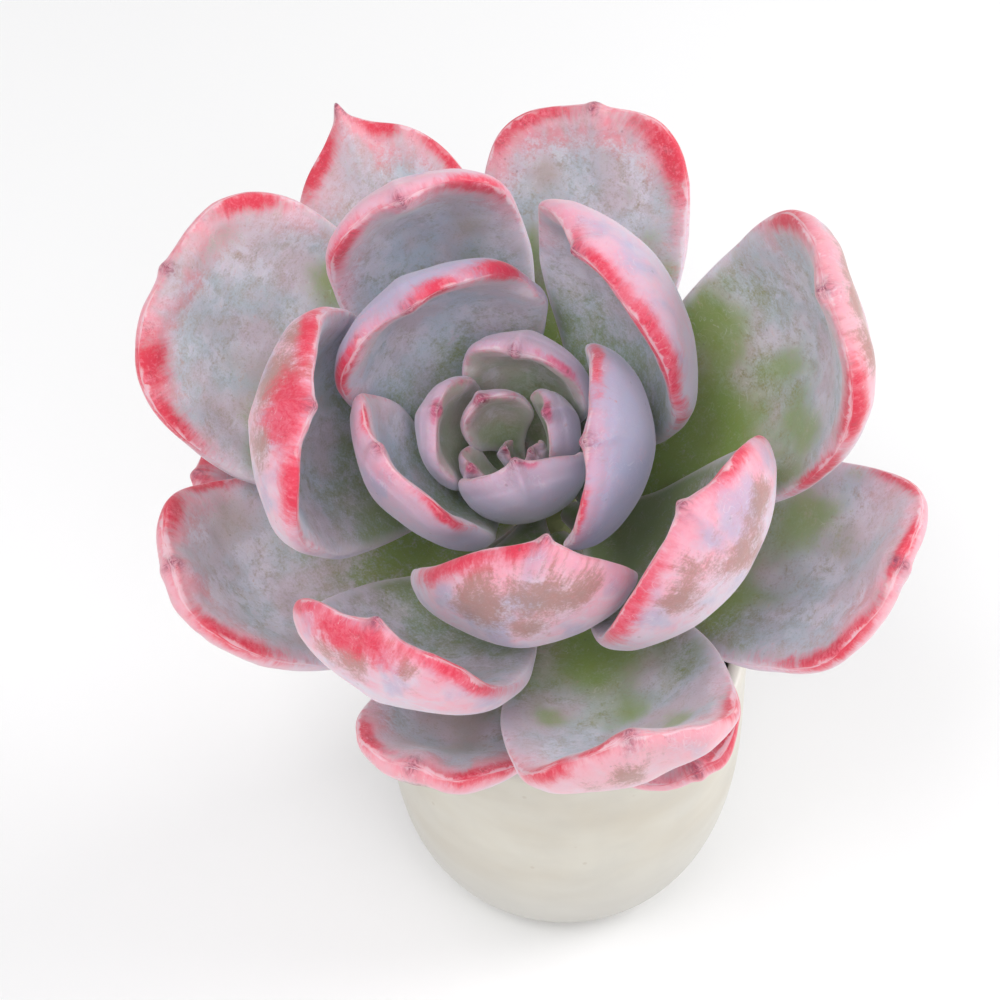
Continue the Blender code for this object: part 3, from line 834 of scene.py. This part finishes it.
def leaf_skin(name, green, brown, bloom_cool, bloom_warm, back_cool, back_pale, pink, red):
    """Waxy bloom over coloured flesh. The margin colours follow the leaf's own ridge."""
    skin = Finish(
        name, Specular_IOR_Level=0.35, Subsurface_Weight=0.2, Subsurface_Scale=0.0015,
        Sheen_Weight=0.32, Sheen_Roughness=0.45,
    )
    place = skin.attribute("leaf_place")[3]
    _, rim, _, edge = skin.attribute("leaf_edge")
    along, mucro, painted, _ = skin.attribute("leaf_form")
    green_spot, rust_spot, brown_spot, _ = skin.attribute("leaf_spots")
    blush, flush, rubbed, _ = skin.attribute("leaf_looks")
    grain = skin.noise(place, 3.6, 2, 0.6)
    fleck = skin.noise(place, 1.5, 4, 0.7, 0.3)
    mottle = skin.noise(place, 0.42, 5, 0.6, 0.6)
    cloud = skin.noise(place, 0.12, 3, 0.5)
    drift = skin.noise(skin.stretched(place, (1.0, 0.6, 1.0)), 0.2, 3, 0.5)
    streak = skin.noise(skin.stretched(edge, (1.0, 0.14, 1.0)), 1.1, 5, 0.65)
    speckle = (fleck - 0.5) * 1.5 + (grain - 0.5) * 1.3
    inside = skin.ramp(rim, -0.5, 0.4)
    away = abs(rim)
    tip = skin.ramp(along + mottle * 0.2, 0.62, 1.08)

    # Inner face: flesh, green at the base and brown towards the tip, under its bloom
    young = skin.ramp(along + cloud * 0.5, 0.95, 0.55)
    flesh = skin.mix(young, brown, green)
    bloom = skin.mix(skin.ramp(cloud + along * 0.2, 0.5, 0.78), bloom_cool, bloom_warm)
    bare = rubbed * 0.12 + young * (rubbed * 0.3 + 0.2) + skin.ramp(drift, 0.5, 0.75, 0.0, 0.12)
    cover = skin.ramp(mottle * 0.5 + 0.25 + speckle * 0.3 - bare, 0.06, 0.52)
    face = skin.mix(cover * 0.86 + 0.08, flesh, bloom)
    milky = skin.ramp(drift * 0.6 + mottle * 0.4 + speckle * 0.08, 0.48, 0.62, 0.0, 0.5) * (1 - young)
    face = skin.mix(milky, face, MILKY_BLOOM)
    rusty = rust_spot * 0.9 + speckle * 0.9 + (mottle - 0.5) * 1.6
    face = skin.mix(skin.ramp(rusty, 0.3, 1.2, 0.0, 0.55), face, brown)
    mossy = green_spot * 1.1 + speckle * 0.5 + (mottle - 0.5) * 1.2
    face = skin.mix(skin.ramp(mossy, 0.1, 1.1, 0.0, 0.75), face, green)

    # Back: pale bloom, flushed pink to the tip, with brown streaks where it is rubbed
    flushed = (skin.ramp(along + mottle * 0.6 + cloud * 0.4, 1.12, 1.6) * flush).clamped()
    rear = skin.mix((flush * 1.3).clamped(), back_cool, back_pale)
    rear = skin.mix(flushed, rear, pink)
    rear = skin.mix(skin.ramp(drift, 0.48, 0.66, 0.0, 0.6), rear, back_cool)
    hair = (streak - 0.5) * skin.ramp(away, 6.5, 3.0, 0.0, 1.6)
    worn = brown_spot * 1.05 + hair + speckle * 0.6 + (mottle - 0.5) * 1.2 + rubbed * 0.1
    rear = skin.mix(skin.ramp(worn, 0.3, 1.0, 0.0, 0.75), rear, WORN_BACK)
    colour = skin.mix(inside, rear, face)

    # Margin: pink near the rim, broad at the tip, then the red stretches with ragged sides
    spread = away / (1.0 + 7.5 * tip) * skin.ramp(inside, 0.0, 1.0, 1.7, 1.0)
    pinkness = skin.ramp(spread + (mottle - 0.5) * 1.8 + speckle * 0.45, 1.1, 0.1) * blush
    pinkness = (pinkness * (1 - green_spot * 0.8) * skin.ramp(drift, 0.4, 0.6, 0.35, 1.15)).clamped()
    colour = skin.mix(pinkness * (0.14 + 0.68 * tip), colour, pink)
    # Pale band along the margin: partly thicker bloom, partly a painted highlight on the edge
    pale_edge = skin.ramp(away + speckle, 2.0, 0.2, 0.0, 0.5) * (1 - tip)
    colour = skin.mix(pale_edge, colour, PALE_EDGE)
    ragged = painted * 1.05 + (streak - 0.5) * 0.7 + (mottle - 0.5) * 0.9 + speckle * 0.3
    redness = skin.ramp(ragged, 0.12, 0.92)
    coral = skin.mix(skin.ramp(fleck * 0.6 + drift * 0.4, 0.42, 0.62), red, pink)
    colour = skin.mix(redness * 0.94, colour, skin.mix(0.7, coral, red))
    flaked = skin.ramp(speckle + (mottle - 0.5) * 1.5, 0.0, 0.7, 0.0, 0.6)
    flaked = flaked * (pinkness * 0.8 + redness * 0.15 + 0.2)
    colour = skin.mix(flaked.clamped(), colour, skin.mix(redness, FLAKED_PINK, FLAKED_RED))
    dusky = skin.ramp((mottle - 0.5) * 1.5 - speckle * 0.8, 0.12, 0.5, 0.0, 0.45) * (pinkness + redness * 0.5)
    colour = skin.mix(dusky.clamped(), colour, DUSKY_ROSE)

    # The bloom lies thickest on the turn of the rim, and a painted highlight lightens the same edge
    rim_bloom_and_highlight = skin.ramp(abs(rim + 0.1 + (mottle - 0.5) * 2.5), 0.5, 0.1, 0.0, 0.5) * skin.ramp(drift, 0.42, 0.6)
    colour = skin.mix(rim_bloom_and_highlight, colour, RIM_BLOOM_AND_HIGHLIGHT)

    # Scratches in the bloom, and dark dots
    scratch = skin.noise(place, 0.5, 1, 0.5, 1.2)
    scratched = skin.ramp(abs(scratch - 0.5), 0.014, 0.004) * skin.ramp(drift, 0.52, 0.62, 0.0, 0.2)
    colour = skin.mix(scratched, colour, SCRATCHED_BLOOM)
    dots = skin.node("ShaderNodeTexVoronoi", None, {"Vector": place, "Scale": 0.3})
    colour = skin.mix(skin.ramp(dots, 0.07, 0.03, 0.0, 0.3), colour, DARK_DOT)
    colour = skin.mix((mucro * skin.ramp(fleck, 0.35, 0.6, 1.1, 0.3)).clamped(), colour, HARD_POINT)
    roughness = skin.ramp(cover + grain * 0.3, 0.2, 1.0, 0.48, 0.68)
    relief = [(mottle, 0.2, 0.5 * MM), (fleck, 0.15, 0.2 * MM), (grain, 0.2, 0.08 * MM)]
    return skin.wear(colour, roughness, relief)


def grow(leaves, material, plain_looks=PLAIN_LOOKS):
    for number, (growth, looks) in leaves.items():
        leaf = Leaf(number, growth, plain_looks | looks)
        node = f"leaf_{number:02d}"
        piece = placed(f"grown_{node}", leaf_mesh(leaf), "root", [node], material)
        soft = piece.modifiers.new("Soft", "SUBSURF")
        soft.levels = 1
        soft.render_levels = 1


outer_skin = leaf_skin(
    "outer_leaf_skin",
    green=(138, 162, 80),
    brown=(158, 140, 108),
    bloom_cool=(192, 203, 214),
    bloom_warm=(210, 196, 208),
    back_cool=(196, 188, 204),
    back_pale=(222, 202, 212),
    pink=(238, 150, 164),
    red=(216, 30, 62),
)
grow(OUTER_LEAVES, outer_skin)


# --- Middle leaves ---------------------------------------------------------------------------
# Younger leaves, of the same thick flesh and waxy bloom. They join the stem above the outer ones,
# stand up and curl in over the centre, so that their pink and brown backs show.

MIDDLE_LEAVES = {
    12: ((9, 57, 15.0, 25, 112, 1.5, 2.0), dict(
        notch=1.8, blush=0.6, flush=0.9,
        red=((-0.26, 0.18, -0.9, 1.1), (0.28, 0.24, -0.6, 1.4), (-0.06, 0.14, -3.0, 2.4)),
        green=((0.42, 0.68, 4),), brown=((-0.15, 0.93, 4), (0.35, 0.95, 2.5)))),
    13: ((14, 53, 14.0, 30, 118, 0, 2.0), dict(
        notch=0.8, blush=0.9, rubbed=0.3, red=((0.26, 0.18, 0.5, 1.3), (-0.26, 0.2, 0.2, 1.6)),
        rust=((-0.5, 0.7, 4),))),
    14: ((1, 59, 17.0, 28, 114, -1.5, 2.0), dict(
        notch=0.2, power=2.4, blush=0.5, flush=0.9, rubbed=0.6,
        red=((-0.32, 0.26, -0.8, 1.5), (0.16, 0.12, -0.5, 1.4), (0.4, 0.1, -0.3, 0.9)),
        brown=((0.4, 0.87, 4), (0.05, 0.84, 4.5), (-0.42, 0.88, 3)))),
    15: ((-7, 55, 18.0, 34, 140, 5, 2.0), dict(
        notch=2.4, blush=0.5, flush=0.8,
        red=((-0.22, 0.2, -1.6, 1.3), (0.2, 0.14, -0.8, 2.0), (0.02, 0.1, -3.5, 3.0)),
        rust=((-0.45, 0.7, 4),), brown=((-0.55, 0.93, 3), (-0.15, 0.9, 5), (0.25, 0.9, 3)))),
    16: ((-11, 47, 16.5, 36, 130, 6, 2.0), dict(
        blush=0.8, flush=0.55, rubbed=0.2, red=((-0.34, 0.3, -0.9, 1.5), (-0.05, 0.08, -0.8, 1.2)))),
    17: ((-3, 51, 15.0, 34, 124, 10, 2.0), dict(
        notch=0.2, power=2.4, blush=0.6, flush=0.9, rubbed=0.4,
        red=((-0.27, 0.2, -1.0, 1.7), (-0.05, 0.06, -0.6, 1.5)),
        brown=((-0.36, 0.86, 4.5), (0.14, 0.9, 4.5), (0.05, 0.8, 3)))),
    18: ((-11, 42, 15.5, 44, 132, 3, 1.5), dict(
        notch=0.6, blush=0.6, flush=0.1, rubbed=0.1,
        red=((0.3, 0.2, -0.5, 1.2), (-0.06, 0.08, -0.4, 1.6), (-0.3, 0.14, -1.2, 1.8)))),
    19: ((0, 39, 15.5, 50, 120, -8, 1.5), dict(
        notch=0.2, power=2.4, blush=0.5, flush=0.1, rubbed=0.1,
        red=((0.32, 0.2, -1.0, 0.9), (-0.22, 0.12, -0.2, 0.8)))),
    20: ((-3, 35, 13.0, 48, 112, -2, 1.5), dict(
        notch=1.8, blush=0.7, flush=0.4, rubbed=0.2, red=((0.3, 0.16, -0.4, 0.8), (-0.1, 0.08, 0.0, 0.7)))),
}
middle_skin = leaf_skin(
    "middle_leaf_skin",
    green=(138, 156, 100),
    brown=(154, 146, 122),
    bloom_cool=(194, 206, 222),
    bloom_warm=(206, 196, 208),
    back_cool=(166, 170, 200),
    back_pale=(214, 204, 218),
    pink=(238, 152, 172),
    red=(222, 38, 72),
)
grow(MIDDLE_LEAVES, middle_skin)


# --- Inner leaves ----------------------------------------------------------------------------
# The youngest leaves, which the growing tip of the stem has just made: pale grey-green and smooth
# under an unbroken bloom, with rose tips, folded over each other into a bud.

INNER_LEAVES = {
    21: ((-5, 26, 9.5, 56, 122, 0, 1.5), dict(power=2.3, flush=0.3, red=((-0.2, 0.15, -0.5, 0.8),))),
    22: ((-16, 23, 9.0, 60, 110, 0, 1.5), dict(power=2.3, flush=0.2, red=((0.05, 0.06, -0.4, 0.6),))),
    23: ((5, 24, 8.0, 54, 122, 1, 1.2), dict(power=2.3, flush=0.3, red=((0.0, 0.08, -0.5, 0.6),))),
    24: ((-10, 19, 5.5, 64, 115, -1, 1.2), dict(power=2.3, flush=0.1, red=((0.0, 0.08, -0.5, 0.5),))),
    25: ((-24, 15, 4.5, 63, 90, 0, 1.2), dict(power=2.2, flush=0.2, red=((0.0, 0.1, -0.3, 0.5),))),
    26: ((9, 17, 5.0, 69, 110, 1, 1.2), dict(power=2.2, flush=0.3, red=((0.0, 0.1, -0.4, 0.5),))),
    27: ((-13, 9, 2.8, 78, 95, 0, 0.8), dict(power=2.2, flush=0.1)),
    28: ((0, 7, 1.8, 84, 95, 0, 0.6), dict(power=2.2, flush=0.1)),
}
inner_skin = leaf_skin(
    "inner_leaf_skin",
    green=(146, 158, 118),
    brown=(158, 150, 124),
    bloom_cool=(172, 186, 164),
    bloom_warm=(188, 182, 176),
    back_cool=(182, 180, 202),
    back_pale=(206, 198, 214),
    pink=(238, 176, 200),
    red=(214, 96, 132),
)
grow(INNER_LEAVES, inner_skin, PLAIN_LOOKS | dict(notch=0.0, blush=0.4, rubbed=0.1))


# --- Floor, light and camera -----------------------------------------------------------------
# A plain pale table top, a bright even room with one large soft light from above and in front,
# and a camera that looks down on the rosette.

floor_mesh = bpy.data.meshes.new("table_top")
floor_shape = bmesh.new()
bmesh.ops.create_grid(floor_shape, x_segments=1, y_segments=1, size=3.0)
floor_shape.to_mesh(floor_mesh)
floor_shape.free()
floor_mesh.transform(Matrix.Translation((0, 0, cad_box[0].z - 0.05 * MM)))
floor = bpy.data.objects.new("table_top", floor_mesh)
bpy.context.scene.collection.objects.link(floor)
board = Finish("pale_board", Specular_IOR_Level=0.2, Roughness=0.8)
board_point = board.node("ShaderNodeTexCoord", output="Object")
board_cloud = board.noise(board_point, 6.0, 3)
floor_mesh.materials.append(board.wear(board.mix(board_cloud, (250, 250, 250), (246, 246, 247))))

world = bpy.data.worlds.new("bright_room")
bpy.context.scene.world = world
world.use_nodes = True
world.node_tree.nodes["Background"].inputs["Color"].default_value = (1.0, 1.0, 1.0, 1.0)
world.node_tree.nodes["Background"].inputs["Strength"].default_value = 0.57


def soft_light(name, place, aim, size, power):
    light = bpy.data.lights.new(name, "AREA")
    light.shape = "DISK"
    light.size = size
    light.energy = power
    lamp = bpy.data.objects.new(name, light)
    lamp.location = place
    lamp.rotation_mode = "QUATERNION"
    lamp.rotation_quaternion = (Vector(aim) - Vector(place)).to_track_quat("-Z", "Y")
    bpy.context.scene.collection.objects.link(lamp)


soft_light("key_light", (-0.3, -0.25, 0.75), (0, 0, 0.07), 0.45, 2.1)
soft_light("front_light", (0.08, -0.45, 0.5), (0, 0, 0.06), 0.5, 1.05)
soft_light("side_light", (0.55, 0.12, 0.35), (0, 0, 0.06), 0.4, 1.9)

CAMERA_TARGET = Vector((-10.0, 7.0, 72.0)) * MM
CAMERA_DISTANCE = 350 * MM
CAMERA_ELEVATION = radians(50)
camera_data = bpy.data.cameras.new("camera")
camera_data.lens = 89
camera_data.sensor_width = 36
camera = bpy.data.objects.new("camera", camera_data)
camera_back = Vector((0, -cos(CAMERA_ELEVATION), sin(CAMERA_ELEVATION)))
camera.location = CAMERA_TARGET + camera_back * CAMERA_DISTANCE
camera.rotation_mode = "QUATERNION"
camera.rotation_quaternion = (-camera_back).to_track_quat("-Z", "Y")
bpy.context.scene.collection.objects.link(camera)
bpy.context.scene.camera = camera
bpy.context.scene.view_settings.view_transform = "Standard"
